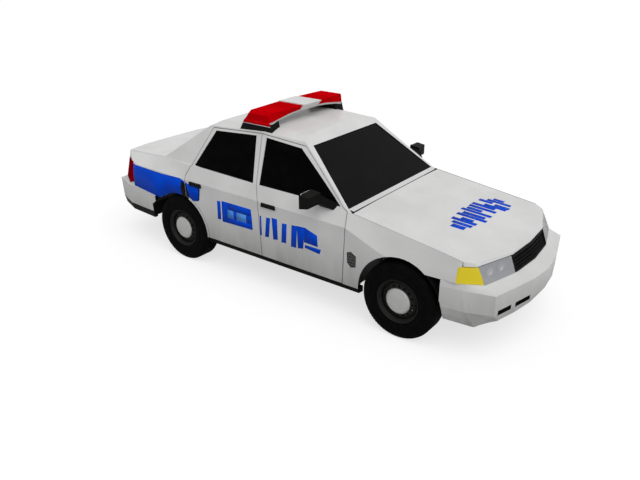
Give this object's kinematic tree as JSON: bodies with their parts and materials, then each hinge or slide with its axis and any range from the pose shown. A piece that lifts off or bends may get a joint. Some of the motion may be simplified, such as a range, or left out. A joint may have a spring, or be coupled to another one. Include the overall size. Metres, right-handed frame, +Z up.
{
  "type": "police patrol car",
  "caption": "Four-door police patrol sedan with white body, blue side flashes, red roof light bar, opening doors, hood and trunk, steered front wheels",
  "frame": {"origin": "on the ground, under the middle of the car's box", "axes": "+X forward, +Y to the car's left, +Z up"},
  "size_m": [5.25, 2.26, 1.8659],
  "materials": {
    "white_paint": "gloss clear-coated white",
    "black_structure": "satin black",
    "clear_glass": "clear laminated",
    "tinted_glass": "dark tint",
    "grille_plastic": "satin dark grey",
    "lamp_clear": "clear lens over reflector",
    "lamp_amber": "clear amber lens",
    "lamp_red": "deep red lens",
    "black_trim": "grained",
    "bumper_cover": "gloss white over flexible cover",
    "underbody_paint": "chip-resistant coating",
    "frame_steel": "painted, dusty",
    "engine_iron": "rough",
    "tank_steel": "satin",
    "seat_fabric": "woven charcoal",
    "interior_plastic": "grained charcoal",
    "exhaust_steel": "heat-stained",
    "bar_plastic": "black base with white centre cover",
    "lens_red": "clear red lens",
    "wheel_steel": "satin silver-grey",
    "tyre_rubber": "black rubber"
  },
  "bodies": {
    "car_body": {"roof_panel": "white_paint", "body_sides": "white_paint", "windshield": "clear_glass", "rear_window": "tinted_glass", "front_fenders": "white_paint", "nose_panel": "black_structure", "grille": "grille_plastic", "headlamps": "lamp_clear", "turn_signals": "lamp_amber", "cowl_panel": "black_trim", "front_bumper": "bumper_cover", "rear_bumper": "bumper_cover", "quarter_panels": "white_paint", "tail_lamps": "lamp_red", "floor_pan": "underbody_paint", "rear_bulkhead": "underbody_paint", "wheel_liners": "black_trim", "chassis_frame": "frame_steel", "engine": "engine_iron", "driveline": "frame_steel", "fuel_tank": "tank_steel", "front_suspension": "frame_steel", "rear_axle": "frame_steel", "seats": "seat_fabric", "dashboard": "interior_plastic", "exhaust": "exhaust_steel", "light_bar_base": "bar_plastic", "light_bar_lenses": "lens_red"},
    "left_front_door_unit": {"left_front_door": "white_paint", "left_front_door_glass": "tinted_glass", "left_door_mirror": "black_trim"},
    "left_rear_door_unit": {"left_rear_door": "white_paint", "left_rear_door_glass": "tinted_glass"},
    "left_knuckle_unit": {"left_knuckle": "frame_steel"},
    "left_front_wheel_unit": {"left_front_wheel": "wheel_steel", "left_front_tyre": "tyre_rubber"},
    "left_rear_wheel_unit": {"left_rear_wheel": "wheel_steel", "left_rear_tyre": "tyre_rubber"},
    "right_front_door_unit": {"right_front_door": "white_paint", "right_front_door_glass": "tinted_glass", "right_door_mirror": "black_trim"},
    "right_rear_door_unit": {"right_rear_door": "white_paint", "right_rear_door_glass": "tinted_glass"},
    "right_knuckle_unit": {"right_knuckle": "frame_steel"},
    "right_front_wheel_unit": {"right_front_wheel": "wheel_steel", "right_front_tyre": "tyre_rubber"},
    "right_rear_wheel_unit": {"right_rear_wheel": "wheel_steel", "right_rear_tyre": "tyre_rubber"},
    "hood_unit": {"hood": "white_paint"},
    "trunk_lid_unit": {"trunk_lid": "white_paint"},
    "steering_wheel_unit": {"steering_wheel": "interior_plastic"}
  },
  "joints": [
    {"name": "left_front_door_hinge", "type": "hinge", "parent": "car_body", "child": "left_front_door_unit", "pos_m": [0.891, 0.905, 0.766], "axis": [0, 0, -1], "range_deg": [0, 65]},
    {"name": "left_rear_door_hinge", "type": "hinge", "parent": "car_body", "child": "left_rear_door_unit", "pos_m": [-0.218, 0.905, 0.766], "axis": [0, 0, -1], "range_deg": [0, 65]},
    {"name": "right_front_door_hinge", "type": "hinge", "parent": "car_body", "child": "right_front_door_unit", "pos_m": [0.891, -0.905, 0.766], "axis": [0, 0, 1], "range_deg": [0, 65]},
    {"name": "right_rear_door_hinge", "type": "hinge", "parent": "car_body", "child": "right_rear_door_unit", "pos_m": [-0.218, -0.905, 0.766], "axis": [0, 0, 1], "range_deg": [0, 65]},
    {"name": "hood_hinge", "type": "hinge", "parent": "car_body", "child": "hood_unit", "pos_m": [1.115, 0, 1.07965], "axis": [0, -1, 0], "range_deg": [0, 50]},
    {"name": "trunk_hinge", "type": "hinge", "parent": "car_body", "child": "trunk_lid_unit", "pos_m": [-1.845, 0, 1.12849], "axis": [0, 1, 0], "range_deg": [0, 75]},
    {"name": "left_steer", "type": "hinge", "parent": "car_body", "child": "left_knuckle_unit", "pos_m": [1.562, 0.742, 0.39], "axis": [0, 0, 1], "range_deg": [-32, 32]},
    {"name": "right_steer", "type": "hinge", "parent": "car_body", "child": "right_knuckle_unit", "pos_m": [1.562, -0.742, 0.39], "axis": [0, 0, 1], "range_deg": [-32, 32]},
    {"name": "steering_wheel_turn", "type": "hinge", "parent": "car_body", "child": "steering_wheel_unit", "pos_m": [0.455, 0.37, 0.986], "axis": [-0.9135, 0, 0.4067], "range_deg": [-448, 448]},
    {"name": "left_front_wheel_spin", "type": "hinge", "parent": "left_knuckle_unit", "child": "left_front_wheel_unit", "pos_m": [1.562, 0.812, 0.39], "axis": [0, 1, 0], "continuous": true},
    {"name": "left_rear_wheel_spin", "type": "hinge", "parent": "car_body", "child": "left_rear_wheel_unit", "pos_m": [-1.348, 0.812, 0.39], "axis": [0, 1, 0], "continuous": true},
    {"name": "right_front_wheel_spin", "type": "hinge", "parent": "right_knuckle_unit", "child": "right_front_wheel_unit", "pos_m": [1.562, -0.812, 0.39], "axis": [0, 1, 0], "continuous": true},
    {"name": "right_rear_wheel_spin", "type": "hinge", "parent": "car_body", "child": "right_rear_wheel_unit", "pos_m": [-1.348, -0.812, 0.39], "axis": [0, 1, 0], "continuous": true}
  ],
  "couplings": [
    {"joint": "right_steer", "follows": "left_steer", "ratio": 1},
    {"joint": "steering_wheel_turn", "follows": "left_steer", "ratio": 14}
  ]
}
